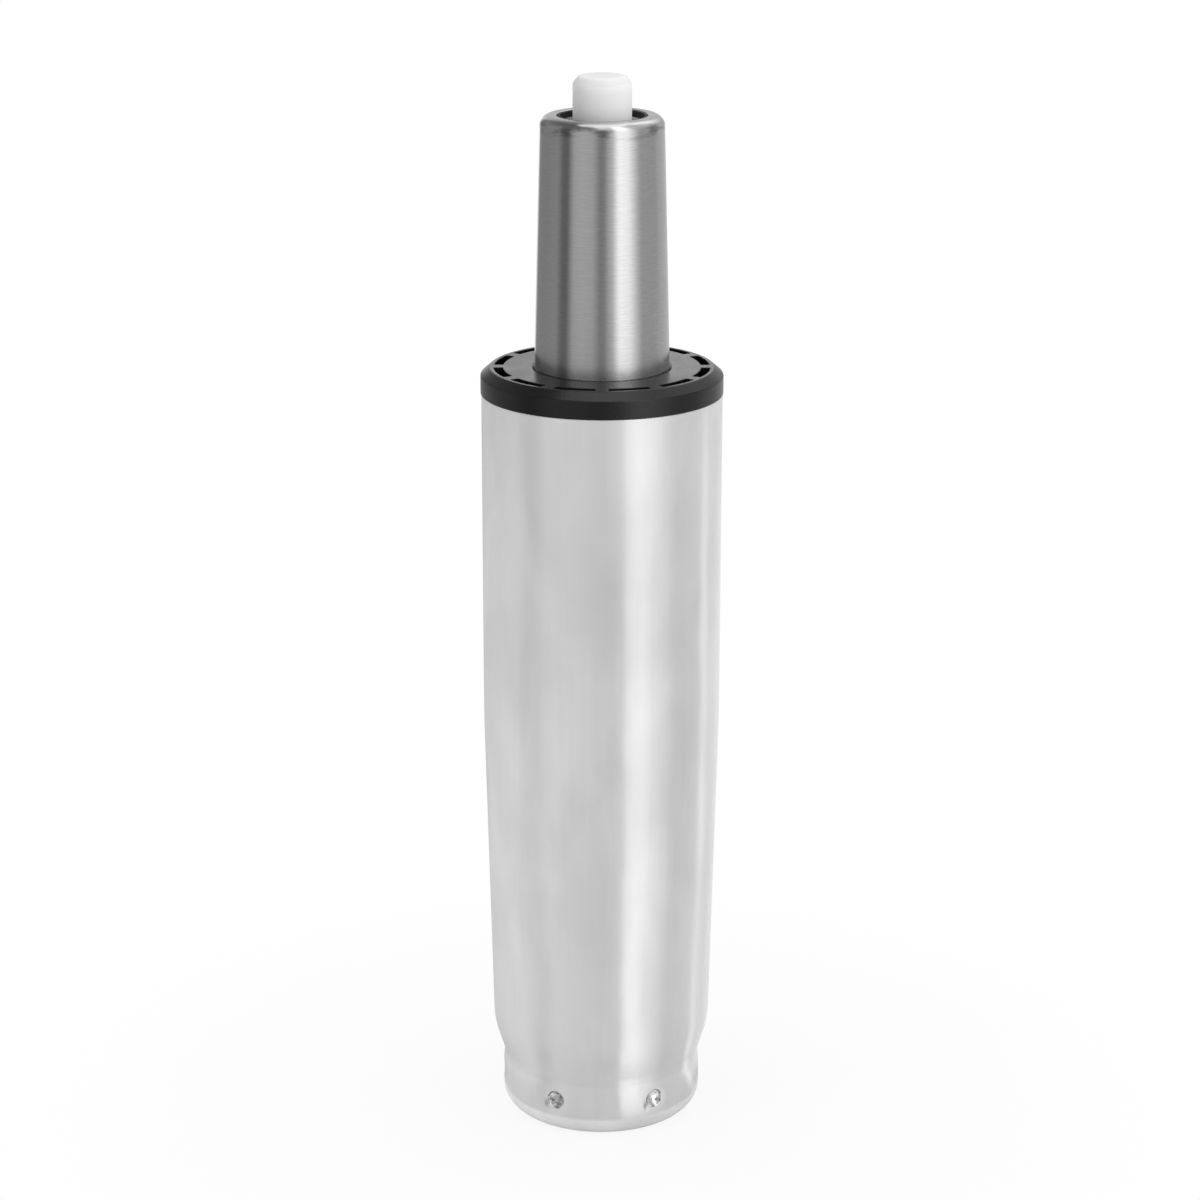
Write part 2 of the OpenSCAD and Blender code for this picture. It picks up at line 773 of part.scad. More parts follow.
// Washer under the turned-in lip, with its outer corner rounded to clear the inside corner
module top_washer() {
    in_r = button_r + loose_fit;
    out_r = body_r(cap_z);
    nest = cyl_corner + 0.1;
    stand_r = mouth_d / 2 - dust_ring_w - 2 * seat_fit;
    stand_z = cap_z + top_washer_step;
    color("gray")
        rotate_extrude()
            polygon(concat(
                [[in_r, valve_z1], [out_r, valve_z1]],
                rounded([[out_r, valve_z1 + 0.05, 0], [out_r, cap_z, nest], [stand_r, cap_z, 0]]),
                [
                    [stand_r, stand_z - 0.15], [stand_r - 0.15, stand_z],
                    [in_r + 0.15, stand_z], [in_r, stand_z - 0.15]
                ]
            ));
}

module dust_ring() {
    out_r = mouth_d / 2 - seat_fit;
    color("black") ring(out_r - dust_ring_w, out_r, cap_z, cap_z + dust_ring_h, 0.1);
}

// Release button and valve pin, which move together

pin_socket_z = flange_z0 + pin_socket;

module release_button() {
    flange_r = button_flange_d / 2;
    color("white")
        difference() {
            rotate_extrude()
                polygon(concat(
                    [
                        [0, flange_z0], [flange_r, flange_z0],
                        [flange_r, flange_z1 - edge], [flange_r - edge, flange_z1]
                    ],
                    rounded([
                        [button_r, flange_z1, 0],
                        [button_r, total_h - button_chamfer, 1.2],
                        [button_r - button_chamfer, total_h, 0.8],
                        [0, total_h, 0]
                    ])
                ));
            translate([0, 0, flange_z0 - past])
                cylinder(r = pin_r + seat_fit, h = pin_socket + past);
        }
}

module valve_pin() {
    head_r = seat_r - 0.3;
    waist_r = pin_r - 0.9;
    land_z = port_z + port_d / 2 + 0.5 + button_travel;
    color("silver")
        rotate_extrude()
            polygon([
                [0, pin_z0], [head_r, pin_z0],
                [head_r, valve_z0 + seat_h / 2 - end_gap], [waist_r, valve_z0 + seat_h - end_gap],
                [waist_r, land_z], [pin_r, land_z + pin_r - waist_r],
                [pin_r, pin_socket_z - edge], [pin_r - edge, pin_socket_z], [0, pin_socket_z]
            ]);
}

outer_tube();
guide_sleeve();
bottom_plate();
lower_race();
ball_retainer();
bearing_balls();
upper_race();
rubber_bumper();
bumper_washer();
piston_rod();
rod_clip();
clip_washer();
piston();
piston_seal();
piston_ring();
piston_nut();
pressure_cylinder();
inner_tube();
rod_guide();
rod_seal();
seal_washer();
valve_body();
body_o_rings();
pin_o_ring();
top_washer();
dust_ring();
release_button();
valve_pin();
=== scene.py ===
import json
import math

import bpy
import numpy as np
from mathutils import Euler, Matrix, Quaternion, Vector


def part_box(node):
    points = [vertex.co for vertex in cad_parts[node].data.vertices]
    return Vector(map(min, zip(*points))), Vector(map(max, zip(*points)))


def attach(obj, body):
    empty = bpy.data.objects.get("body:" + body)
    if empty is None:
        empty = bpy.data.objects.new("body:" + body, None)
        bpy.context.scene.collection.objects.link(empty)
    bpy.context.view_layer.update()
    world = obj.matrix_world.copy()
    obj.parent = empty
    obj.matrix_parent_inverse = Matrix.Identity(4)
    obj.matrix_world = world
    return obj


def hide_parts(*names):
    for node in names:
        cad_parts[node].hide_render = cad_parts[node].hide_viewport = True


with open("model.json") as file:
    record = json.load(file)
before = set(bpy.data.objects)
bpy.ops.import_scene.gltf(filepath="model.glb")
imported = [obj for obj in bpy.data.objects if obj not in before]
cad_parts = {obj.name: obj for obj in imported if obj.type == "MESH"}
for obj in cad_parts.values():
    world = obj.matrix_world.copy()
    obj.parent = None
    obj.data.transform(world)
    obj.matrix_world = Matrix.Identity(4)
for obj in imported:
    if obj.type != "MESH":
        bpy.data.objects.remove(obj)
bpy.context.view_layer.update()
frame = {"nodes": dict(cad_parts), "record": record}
NODES = frame["nodes"]
SCENE = bpy.context.scene
SCENE.view_settings.view_transform = "Standard"

MM = 0.001

# Camera, fitted to the ellipses and edges of the photograph: metres, degrees and millimetres of lens
CAMERA_PLACE = (-0.00036, -0.700, 0.3246)
CAMERA_DOWN = 16.706
CAMERA_ROLL = 0.06
CAMERA_LENS = 103.96
CAMERA_SENSOR = 36.0

# Studio, in metres. Azimuth is in degrees from the photographer, positive to the right; level 1 is white.
TENT_RADIUS = 0.17
TENT_TOP = 0.6
TENT_FLOOR = ((0.026, 0.0008), (0.05, 0.002), (0.075, 0.006), (0.12, 0.020), (0.155, 0.045))
SCRIM_LEVEL = 1.5
WORLD_LEVEL = 0.80
FULL_LEVEL = 2.4

# Where the tent goes from one set of panels to the next, its plain places, and how its floor's panels lean
LOW_ZONE_TOP = (0.123, 0.131)
HIGH_ZONE_FOOT = (0.26, 0.36)
LOW_FADE, LOW_FADE_SHARE, LOW_FADE_LEVEL = (0.092, 0.116), 0.42, 0.34
FOOT_RING, FOOT_RING_SHARE, FOOT_RING_LEVEL = (0.029, 0.033), 0.65, 0.32
LEAN_ZONE, LEAN, LEAN_FALL = (0.045, 0.11), 0.36, 0.11
BEHIND_SIDES, BEHIND_FOOT, BEHIND_HEIGHTS = (158, 168), (0.182, 0.192), (0.18, 0.28)
BEHIND_LEVELS = [(0.0, 1.5), (0.35, 1.5), (0.52, 0.6), (1.0, 0.6)]

# What the cylinder above the collar mirrors
PANELS = [
    ("behind_left", -180, 0.95), ("behind_left_end", -158, 0.95),
    ("side_left", -150, 0.30), ("side_left_front", -112, 0.32), ("side_left_end", -84, 0.36),
    ("flag_left", -72, 0.17), ("flag_left_end", -62, 0.17),
    ("fill", -50, 0.57), ("fill_middle", -34, 0.62), ("fill_end", -16, 0.57),
    ("gap", -4, 0.29), ("gap_end", 3, 0.29),
    ("step", 12, 0.62), ("step_end", 18, 0.75),
    ("key", 29, 1.65), ("key_end", 46, 1.50),
    ("key_fall", 60, 0.85),
    ("side_right", 70, 0.50), ("side_right_end", 106, 0.46),
    ("rim", 118, 0.57), ("rim_end", 142, 0.63),
    ("behind_right", 158, 0.66), ("behind_right_end", 180, 0.80),
]

# What the column tube below the collar mirrors
LOW_PANELS = [
    ("behind_left", -180, 0.55), ("behind_left_end", -158, 0.50),
    ("side_left", -150, 0.50), ("side_left_end", -84, 0.44),
    ("flag_left", -72, 0.20), ("flag_left_end", -61, 0.20),
    ("fill", -50, 0.46), ("fill_end", -20, 0.42),
    ("gap", -4, 0.33), ("gap_end", 8, 0.34),
    ("step", 15, 0.38), ("step_end", 19, 0.54),
    ("key", 23, 1.28), ("key_middle", 33, 1.56), ("key_end", 41, 1.46),
    ("shoulder", 47, 1.12), ("shoulder_end", 53, 1.05), ("key_fall", 62, 0.78),
    ("side_right", 71, 0.48), ("side_right_mid", 82, 0.50), ("side_right_end", 103, 0.60),
    ("strip", 109, 1.35), ("strip_end", 112.5, 1.30),
    ("rim", 117, 0.84), ("rim_end", 130, 0.86),
    ("behind_right", 143, 0.95), ("behind_right_end", 180, 0.95),
]

# What the cylinder's turned-in top and the button's chamfer mirror
HIGH_PANELS = [
    ("behind_left", -180, 0.40),
    ("side_left", -136.8, 0.18), ("side_left_end", -43.2, 0.18),
    ("fill", -21.6, 0.50), ("fill_end", -10.8, 0.95),
    ("middle", 21.6, 1.00),
    ("key", 28.8, 2.30), ("key_end", 48.6, 2.20),
    ("key_fall", 61.2, 0.90),
    ("side_right", 79.2, 0.75), ("side_right_end", 115.2, 0.90),
    ("rim", 129.6, 1.70), ("rim_end", 151.2, 1.70),
    ("behind_right", 165.6, 0.80), ("behind_right_end", 180, 0.40),
]

# The object's measures in mm: those of the CAD, apart from the button's width and chamfer
TUBE_R = 25.0
TUBE_WALL = 1.8
TUBE_TOP = 159.6
BASE_CONE_TOP = 90.0
BASE_CONE_SLOPE = 0.025
SHOULDER_ANGLE = 18.0
NECK_R, NECK_Z = 20.95, 12.9
FOOT_R, FOOT_TOP = 21.3, 10.5
RIM_OPEN_R = 13.5
RIM_EDGE = 0.3
TOP_EDGE = 0.15
DENT_Z = 8.2
DENT_TURN = 2.5
DENT_COUNT = 6
DENTS = [DENT_TURN + 360 / DENT_COUNT * k for k in range(DENT_COUNT)]
DENT_ZONE = (3.6, 12.8)

COLLAR_TOP, COLLAR_UNDER = 165.0, 162.4
COLLAR_R, COLLAR_FLAT_R, COLLAR_BEVEL_Z = 25.15, 23.2, 163.35
SLEEVE_FOOT = 85.0
SLEEVE_BORE_R = 14.05
RELIEF_R, RELIEF_FOOT, RELIEF_TOP, RELIEF_SLANT = 14.35, 99.0, 151.0, 0.3
SLEEVE_R, SLEEVE_TIP_R = 23.15, 23.025
SLOT_COUNT, SLOT_HALF, SLOT_IN, SLOT_OUT = 12, 11.5, 20.5, 22.4
SLOT_PITCH = 360 / SLOT_COUNT
SLOT_R = 21.45
SLOT_CORNER = 0.32
SLOT_EDGE = 0.16
CELL_IN, CELL_OUT = 19.75, 22.85
POCKET_IN, POCKET_OUT = 16.05, 21.75
RIB_HALF, RIB_FOOT, RIB_IN, RIB_OUT = 0.8, 88.0, 16.0, 21.8

CYLINDER_R, CYLINDER_BORE_R = 14.0, 12.0
SEAT_CONE_FOOT, SEAT_CONE_TOP = 165.1, 217.1
SEAT_CONE_TOP_R, SEAT_CONE_BORE_R = 12.7, 10.75
MOUTH_R, MOUTH_WALL = 9.3, 2.0
END_WALL, END_HOLE_R = 2.0, 7.5

BUTTON_TOP, BUTTON_R, BUTTON_FLAT_R, BUTTON_CHAMFER_H = 225.0, 6.02, 4.85, 1.5
FLANGE_TOP, FLANGE_FOOT, FLANGE_R = 213.3, 210.9, 7.5
PIN_HOLE_TOP, PIN_HOLE_R = 217.9, 2.55

# Rings of points near the button's axis
MIDDLE_DISC_R, BUTTON_RING_R = 0.15, 2.4

# Limits below which a corner counts as straight, a quad as without area and a point as not moved
STRAIGHT = 1e-6
NO_AREA = 1e-7
MOVED = 1e-4


class Graph:
    """A material's or world's node tree with short calls."""

    def __init__(self, tree):
        self.tree = tree
        tree.nodes.clear()

    def node(self, kind, inputs=None, **settings):
        n = self.tree.nodes.new("ShaderNode" + kind)
        for key, value in settings.items():
            setattr(n, key, value)
        for key, value in (inputs or {}).items():
            self.feed(n.inputs[key], value)
        return n

    def feed(self, socket, value):
        if isinstance(value, bpy.types.NodeSocket):
            self.tree.links.new(value, socket)
        elif isinstance(value, bpy.types.Node):
            self.tree.links.new(value.outputs[0], socket)
        else:
            socket.default_value = value

    def output(self, shader, kind="OutputMaterial"):
        out = self.node(kind)
        self.tree.links.new(shader.outputs[0], out.inputs["Surface"])

    def math(self, operation, a, b=0.0, c=0.0):
        n = self.node("Math", operation=operation)
        for i, v in enumerate((a, b, c)):
            self.feed(n.inputs[i], v)
        return n.outputs[0]

    def hypot(self, a, b):
        return self.math("SQRT", self.math("ADD", self.math("MULTIPLY", a, a), self.math("MULTIPLY", b, b)))

    def coordinates(self):
        """The piece's own coordinates in metres."""
        return self.node("TexCoord").outputs["Object"]

    def xyz(self, vector):
        return self.node("SeparateXYZ", {0: vector}).outputs

    def noise(self, vector, scale, detail=3.0, rough=0.55, distort=0.0):
        n = self.node("TexNoise", {"Vector": vector, "Scale": scale, "Detail": detail,
                                   "Roughness": rough, "Distortion": distort})
        return n.outputs[0]

    def stretch(self, vector, sx, sy, sz):
        n = self.node("Mapping", {"Vector": vector, "Scale": (sx, sy, sz)})
        return n.outputs[0]

    def span(self, value, a, b, c, d):
        """The value's way from a to b, as a number from c to d."""
        n = self.node("MapRange", {"Value": value, "From Min": a, "From Max": b, "To Min": c, "To Max": d})
        return n.outputs[0]

    def between(self, value, start, full, fall, end):
        """1 from full to fall, 0 before start and past end."""
        return self.math("MULTIPLY", self.span(value, start, full, 0.0, 1.0),
                         self.span(value, fall, end, 1.0, 0.0))

    def ramp(self, value, stops):
        """A grey ramp through the stops (position, level)."""
        n = self.node("ValToRGB", {"Fac": value})
        r = n.color_ramp
        while len(r.elements) < len(stops):
            r.elements.new(0.5)
        for e, (position, level) in zip(r.elements, stops):
            e.position = position
            e.color = grey(level)
        return n.outputs[0]

    def mix_shaders(self, fac, a, b):
        """Shader a where fac is 0, shader b where it is 1."""
        return self.node("MixShader", {0: fac, 1: a, 2: b})

    def mix(self, fac, a, b):
        n = self.node("Mix", data_type="RGBA", blend_type="MIX")
        self.feed(n.inputs[0], fac)
        self.feed(n.inputs[6], a)
        self.feed(n.inputs[7], b)
        return n.outputs[2]

    def bump(self, height, distance, normal=None):
        n = self.node("Bump", {"Height": height, "Distance": distance, "Strength": 1.0})
        if normal is not None:
            self.feed(n.inputs["Normal"], normal)
        return n.outputs[0]


def grey(level):
    return (level, level, level, 1)


def new_graph(name):
    m = bpy.data.materials.new(name)
    m.use_nodes = True
    return m, Graph(m.node_tree)


def new_material(name, base, rough, metallic=0.0, **more):
    """A Principled material: returns it, its graph, the shader and the piece's own coordinates."""
    m, g = new_graph(name)
    bsdf = g.node("BsdfPrincipled", {"Base Color": (*base, 1), "Roughness": rough, "Metallic": metallic})
    for key, value in more.items():
        bsdf.inputs[key.replace("_", " ")].default_value = value
    g.output(bsdf)
    m.diffuse_color = (*base, 1)
    return m, g, bsdf, g.coordinates()


def photo_camera():
    data = bpy.data.cameras.new("photo_camera")
    data.sensor_fit = "HORIZONTAL"
    data.sensor_width = CAMERA_SENSOR
    data.lens = CAMERA_LENS
    data.clip_start = 0.01
    data.clip_end = 50.0
    camera = bpy.data.objects.new("photo_camera", data)
    SCENE.collection.objects.link(camera)
    camera.location = CAMERA_PLACE
    tilt = Euler((math.radians(90.0 - CAMERA_DOWN), 0.0, 0.0)).to_quaternion()
    roll = Quaternion((0.0, 0.0, 1.0), math.radians(CAMERA_ROLL))
    camera.rotation_euler = (tilt @ roll).to_euler()
    SCENE.camera = camera


def studio_world():
    """White for camera, mirror and glass rays, and a little darker as a light."""
    world = bpy.data.worlds.new("studio")
    SCENE.world = world
    world.use_nodes = True
    g = Graph(world.node_tree)
    path = g.node("LightPath").outputs
    seen = g.math("MAXIMUM", g.math("MAXIMUM", path["Is Camera Ray"], path["Is Glossy Ray"]),
                  path["Is Transmission Ray"])
    soft = g.node("Background", {"Color": grey(1), "Strength": WORLD_LEVEL})
    white = g.node("Background", {"Color": grey(1), "Strength": 1.0})
    g.output(g.mix_shaders(seen, soft, white), "OutputWorld")


def sheet_mesh(name, rows):
    """A quad grid from rows of points."""
    nu, nv = len(rows), len(rows[0])
    verts = [tuple(p) for row in rows for p in row]
    faces = [(i * nv + j, i * nv + j + 1, (i + 1) * nv + j + 1, (i + 1) * nv + j)
             for i in range(nu - 1) for j in range(nv - 1)]
    mesh = bpy.data.meshes.new(name)
    mesh.from_pydata(verts, [], faces)
    mesh.update()
    obj = bpy.data.objects.new(name, mesh)
    SCENE.collection.objects.link(obj)
    return obj


def disc_rows(radii, height, count):
    """Rings of points round the axis."""
    turn = np.linspace(0, 2 * math.pi, count)
    return [[(r * math.cos(a), r * math.sin(a), height) for a in turn] for r in radii]


def studio_floor():
    """A large pale floor: camera and mirror rays see it near white, and it keeps the object's shadow."""
    floor = sheet_mesh("floor", disc_rows((0.0005, 0.05, 0.2, 0.8, 3.0, 12.0), 0.0, 97))
    m, g = new_graph("pale_floor")
    path = g.node("LightPath").outputs
    paint = g.node("BsdfDiffuse", {"Color": (0.9, 0.9, 0.9, 1), "Roughness": 0.6})
    glow = g.node("Emission", {"Color": grey(1), "Strength": 1.0})
    xyz = g.xyz(g.coordinates())
    away = g.hypot(xyz[0], xyz[1])
    # Near the foot, camera and glass rays see a share of the paint with its shadow.
    # Mirror rays see a larger share there.
    direct = g.math("MAXIMUM", path["Is Camera Ray"], path["Is Transmission Ray"])
    direct = g.math("MULTIPLY", direct, g.span(away, 0.02, 0.14, 0.88, 1.0))
    mirrored = g.math("MULTIPLY", path["Is Glossy Ray"], g.span(away, 0.019, 0.032, 0.28, 1.0))
    g.output(g.mix_shaders(g.math("MAXIMUM", mirrored, direct), paint, glow))
    floor.data.materials.append(m)


def level_ramp(g, place, stops):
    return g.ramp(place, [(position, level / FULL_LEVEL) for position, level in stops])


def panel_ramp(g, place, panels):
    return level_ramp(g, place, [((azimuth + 180) / 360, level) for _, azimuth, level in panels])


def tent_light(g):
    """The tent's levels by azimuth and height."""
    xyz = g.xyz(g.coordinates())
    x, y, z = xyz[0], xyz[1], xyz[2]
    azimuth = g.math("ARCTAN2", x, g.math("MULTIPLY", y, -1.0))
    away = g.hypot(x, y)
    # On the tent's floor the panels lean towards the photographer, as the foot mirrors them.
    lean = g.math("MULTIPLY", azimuth, g.math("MULTIPLY_ADD", g.math("ABSOLUTE", azimuth), -LEAN_FALL, LEAN))
    leaning = g.math("MULTIPLY_ADD", lean, g.span(away, *LEAN_ZONE, 1.0, 0.0), azimuth)
    place = g.span(leaning, -math.pi, math.pi, 0.0, 1.0)
    low = panel_ramp(g, place, LOW_PANELS)
    low = g.mix(g.span(z, *LOW_FADE, 0.0, LOW_FADE_SHARE), low, grey(LOW_FADE_LEVEL / FULL_LEVEL))
    light = g.mix(g.span(z, *LOW_ZONE_TOP, 0.0, 1.0), low, panel_ramp(g, place, PANELS))
    # Behind the object, what the collar's flat top mirrors
    behind = g.span(g.math("ABSOLUTE", azimuth), *map(math.radians, BEHIND_SIDES), 0.0, 1.0)
    behind = g.math("MULTIPLY", behind, g.span(z, *BEHIND_FOOT, 0.0, 1.0))
    light = g.mix(behind, light, level_ramp(g, g.span(z, *BEHIND_HEIGHTS, 0.0, 1.0), BEHIND_LEVELS))
    light = g.mix(g.span(z, *HIGH_ZONE_FOOT, 0.0, 1.0), light, panel_ramp(g, place, HIGH_PANELS))
    # Close round the foot, what the rolled rim mirrors
    ring = g.span(away, *FOOT_RING, FOOT_RING_SHARE, 0.0)
    return g.mix(ring, light, grey(FOOT_RING_LEVEL / FULL_LEVEL))


def studio_tent():
    """A round light tent close to the object that only mirror rays meet: softboxes, grey panels and flags."""
    profile = (*TENT_FLOOR, (TENT_RADIUS, 0.09), (TENT_RADIUS, TENT_TOP))
    rows = []
    for a in np.radians(np.linspace(-180, 180, 181)):
        x, y = math.sin(a), -math.cos(a)
        rows.append([(x * r, y * r, z) for r, z in profile])
    tent = sheet_mesh("light_tent", rows)
    m, g = new_graph("tent_panels")
    g.output(g.node("Emission", {"Color": tent_light(g), "Strength": FULL_LEVEL}))
    tent.data.materials.append(m)
    lid = sheet_mesh("overhead_scrim", disc_rows((0.0005, 0.09, TENT_RADIUS), TENT_TOP, 65))
    m, g = new_graph("scrim")
    g.output(g.node("Emission", {"Color": grey(1), "Strength": SCRIM_LEVEL}))
    lid.data.materials.append(m)
    for o in (tent, lid):
        o.visible_camera = False
        o.visible_diffuse = False
        o.visible_shadow = False
        o.visible_transmission = False
        o.visible_volume_scatter = False


def spot(name, azimuth, elevation, aim_height, cone, blend, softness, power):
    """A soft spot one metre from a height on the axis. Mirror rays don't see it."""
    data = bpy.data.lights.new(name, "SPOT")
    data.energy = power
    data.shadow_soft_size = softness
    data.spot_size = math.radians(cone)
    data.spot_blend = blend
    obj = bpy.data.objects.new(name, data)
    SCENE.collection.objects.link(obj)
    a, e = math.radians(azimuth), math.radians(elevation)
    aim = Vector((0, 0, aim_height))
    obj.location = aim + Vector((math.sin(a) * math.cos(e), -math.cos(a) * math.cos(e), math.sin(e)))
    obj.rotation_euler = (aim - obj.location).to_track_quat("-Z", "Y").to_euler()
    obj.visible_glossy = False
    obj.visible_camera = False


photo_camera()
studio_world()
studio_floor()
studio_tent()
spot("button_spot", azimuth=42, elevation=32, aim_height=0.255,
     cone=9.0, blend=0.3, softness=0.05, power=25.0)
spot("column_fill", azimuth=-60, elevation=8, aim_height=0.050,
     cone=14.0, blend=0.8, softness=0.10, power=10.5)


# Materials

def brushed(g, b):
    """Reflections drawn out upwards and downwards, as on a turned and brushed surface."""
    b.inputs["Anisotropic"].default_value = 0.85
    b.inputs["Anisotropic Rotation"].default_value = 0.25
    g.feed(b.inputs["Tangent"], g.node("Tangent", direction_type="RADIAL", axis="Z"))


def punch_marks(g, co):
    """Distance in metres from the middle of the nearest punch mark, and from the painted shade beside it."""
    xyz = g.xyz(co)
    per_radian = DENT_COUNT / (2 * math.pi)
    first = DENT_TURN / 360 * DENT_COUNT
    turn = g.math("MULTIPLY_ADD", g.math("ARCTAN2", xyz[1], xyz[0]), per_radian, -first)
    u = g.math("MULTIPLY", g.math("SUBTRACT", turn, g.math("ROUND", turn)), FOOT_R * MM / per_radian)
    v = g.math("SUBTRACT", xyz[2], DENT_Z * MM)
    # The painted shade beside the mark is narrow, 2.2 mm to one side of the mark's middle and 1.2 mm below
    # it.
    side = g.math("MULTIPLY_ADD", u, 1.8, 0.0040)
    below = g.math("ADD", v, 0.0012)
    return g.hypot(u, v), g.hypot(side, below)


def punch_mark_shade(g, co, away, beside):
    """Painted shade round a punch mark: a dark ring at its edge, dark spots in it and a dark patch beside it.
    """
    line_r, line_half = 0.00182, 0.00026
    ring = g.span(g.math("ABSOLUTE", g.math("SUBTRACT", away, line_r)), 0.0, line_half, 1.0, 0.0)
    ring = g.math("MULTIPLY", ring, g.span(g.noise(co, 620.0, 2.0), 0.50, 0.58, 0.0, 0.9))
    spots = g.math("MULTIPLY", g.span(away, 0.0013, 0.0016, 1.0, 0.0),
                   g.span(g.noise(co, 900.0, 1.0), 0.56, 0.62, 0.0, 0.7))
    dark_patches = g.span(beside, 0.0002, 0.0013, 0.5, 0.0)
    return g.math("MAXIMUM", g.math("MAXIMUM", ring, spots), dark_patches)


def tube_steel():
    metal = 0.33
    m, g, b, co = new_material("satin_tube_steel", (0.81, 0.81, 0.81), 0.30, metal)
    height = g.xyz(co)[2]
    cloud = g.noise(g.stretch(co, 100, 100, 42), 1.0, 2.0, 0.5, 0.4)
    wave = g.noise(g.stretch(co, 60, 60, 40), 1.0, 1.0, 0.4, 0.2)
    drawn = g.noise(g.stretch(co, 1100, 1100, 14), 1.0, 2.0, 0.6)
    scratch = g.noise(co, 1500.0, 3.0, 0.55, 0.8)
    away, beside = punch_marks(g, co)
    pit = g.span(away, 0.00175, 0.00205, 1.0, 0.0)
    # Painted shade: a thin darker line along the neck's crease
    neck_shade_line = g.between(height, 0.0118, 0.0123, 0.0124, 0.0138)

    tone = g.mix(g.span(cloud, 0.32, 0.68, 0.0, 1.0), (0.775, 0.775, 0.777, 1), grey(0.86))
    tone = g.mix(g.span(drawn, 0.35, 0.65, 0.0, 0.05), tone, grey(0.50))
    tone = g.mix(g.math("MULTIPLY", neck_shade_line, 0.05), tone, grey(0.2))
    bare = g.mix(g.span(scratch, 0.42, 0.58, 0.0, 1.0), grey(0.72), grey(0.95))
    tone = g.mix(pit, tone, bare)
    # Painted shade round the punch marks darkens the colour
    g.feed(b.inputs["Base Color"], g.mix(punch_mark_shade(g, co, away, beside), tone, grey(0.05)))
    g.feed(b.inputs["Metallic"], g.math("MULTIPLY_ADD", pit, 0.60, metal))

    rough = g.math("ADD", g.span(cloud, 0.3, 0.7, 0.240, 0.262),
                   g.span(g.noise(co, 300.0, 2.0), 0.3, 0.7, -0.005, 0.005))
    rough = g.math("ADD", rough, g.span(height, 0.009, 0.015, -0.06, 0.0))
    rough = g.math("ADD", rough, g.math("MULTIPLY", pit, g.span(scratch, 0.3, 0.7, -0.09, 0.05)))
    g.feed(b.inputs["Roughness"], rough)
    brushed(g, b)
    g.feed(b.inputs["Normal"], g.bump(g.math("MULTIPLY", scratch, pit), 0.00003, g.bump(wave, 0.0004)))
    return m


def cylinder_steel():
    m, g, b, co = new_material("brushed_cylinder_steel", (0.55, 0.55, 0.55), 0.25, 1.0)
    fine = g.noise(g.stretch(co, 420, 420, 5600), 1.0, 4.0, 0.65)
    wide = g.noise(g.stretch(co, 24, 24, 2600), 1.0, 3.0, 0.6)
    # Darker patches in a band just below the rounding of the top
    edge = g.between(g.xyz(co)[2], 0.2134, 0.2148, 0.2158, 0.2168)
    dark_patches = g.span(g.noise(g.stretch(co, 170, 170, 420), 1.0, 3.0, 0.6), 0.49, 0.62, 0.0, 0.55)
    tone = g.mix(g.span(fine, 0.3, 0.7, 0.0, 1.0), grey(0.508), grey(0.588))
    g.feed(b.inputs["Base Color"], g.mix(g.math("MULTIPLY", edge, dark_patches), tone, grey(0.10)))
    g.feed(b.inputs["Roughness"], g.math("ADD", g.span(wide, 0.3, 0.7, 0.19, 0.23),
                                         g.span(fine, 0.3, 0.7, -0.02, 0.02)))
    brushed(g, b)
    g.feed(b.inputs["Normal"], g.bump(fine, 0.000004))
    return m


def turned_metal(name, base, rough, metal=1.0):
    """Metal with fine turning marks round the axis and faint stains."""
    lines = 4500
    m, g, b, co = new_material(name, base, rough, metal)
    xyz = g.xyz(co)
    ring = g.node("CombineXYZ", {0: g.hypot(xyz[0], xyz[1]), 1: 0.0, 2: xyz[2]}).outputs[0]
    cut = g.noise(g.stretch(ring, lines, 1, lines), 1.0, 3.0, 0.6)
    stain = g.noise(co, 180.0, 3.0)
    dull = tuple(c * 0.88 for c in base)
    g.feed(b.inputs["Base Color"], g.mix(g.math("MULTIPLY", stain, cut), (*dull, 1), (*base, 1)))
    g.feed(b.inputs["Roughness"], g.span(g.math("ADD", stain, cut), 0.6, 1.4, rough - 0.06, rough + 0.1))
    g.feed(b.inputs["Normal"], g.bump(cut, 0.00001))
    return m


def moulded_grain(g, b, co, rough):
    """The grain and gloss of moulded plastic. Returns its soft clouds."""
    pits = g.noise(co, 2600.0, 2.0, 0.5)
    cloud = g.noise(co, 70.0, 4.0, 0.6)
    g.feed(b.inputs["Roughness"], g.math("ADD", g.span(cloud, 0.3, 0.7, rough - 0.05, rough + 0.05),
                                         g.span(pits, 0.3, 0.7, -0.03, 0.03)))
    g.feed(b.inputs["Normal"], g.bump(pits, 0.00002))
    return cloud


def plastic(name, base, rough, vary=0.12, **more):
    m, g, b, co = new_material(name, base, rough, 0.0, **more)
    dark = tuple(c * (1 - vary) for c in base)
    light = tuple(min(1.0, c * (1 + vary)) for c in base)
    g.feed(b.inputs["Base Color"], g.mix(moulded_grain(g, b, co, rough), (*dark, 1), (*light, 1)))
    return m


def milky_plastic():
    """Cloudy plastic with painted shade low down and on the chamfer, and painted light on the flat top."""
    rough = 0.50
    m, g, b, co = new_material("milky_button_plastic", (0.66, 0.66, 0.657), rough, Subsurface_Weight=1.0,
                               Specular_IOR_Level=0.2, Subsurface_Radius=(1.0, 1.0, 1.0),
                               Subsurface_Scale=0.006)
    cloud = moulded_grain(g, b, co, rough)
    # Painted shade on the lower body and the chamfer, painted light on the flat top
    painted_light_and_shade = g.ramp(g.span(g.xyz(co)[2], 0.2170, 0.2250, 0.0, 1.0), [
        (0.0, 0.62), (0.3, 0.675), (0.76, 0.665), (0.84, 0.585), (0.99, 0.60), (1.0, 0.69)])
    g.feed(b.inputs["Base Color"], g.mix(g.span(cloud, 0.3, 0.7, 0.0, 0.04), painted_light_and_shade, (0.9, 0.9, 0.89, 1)))
    return m


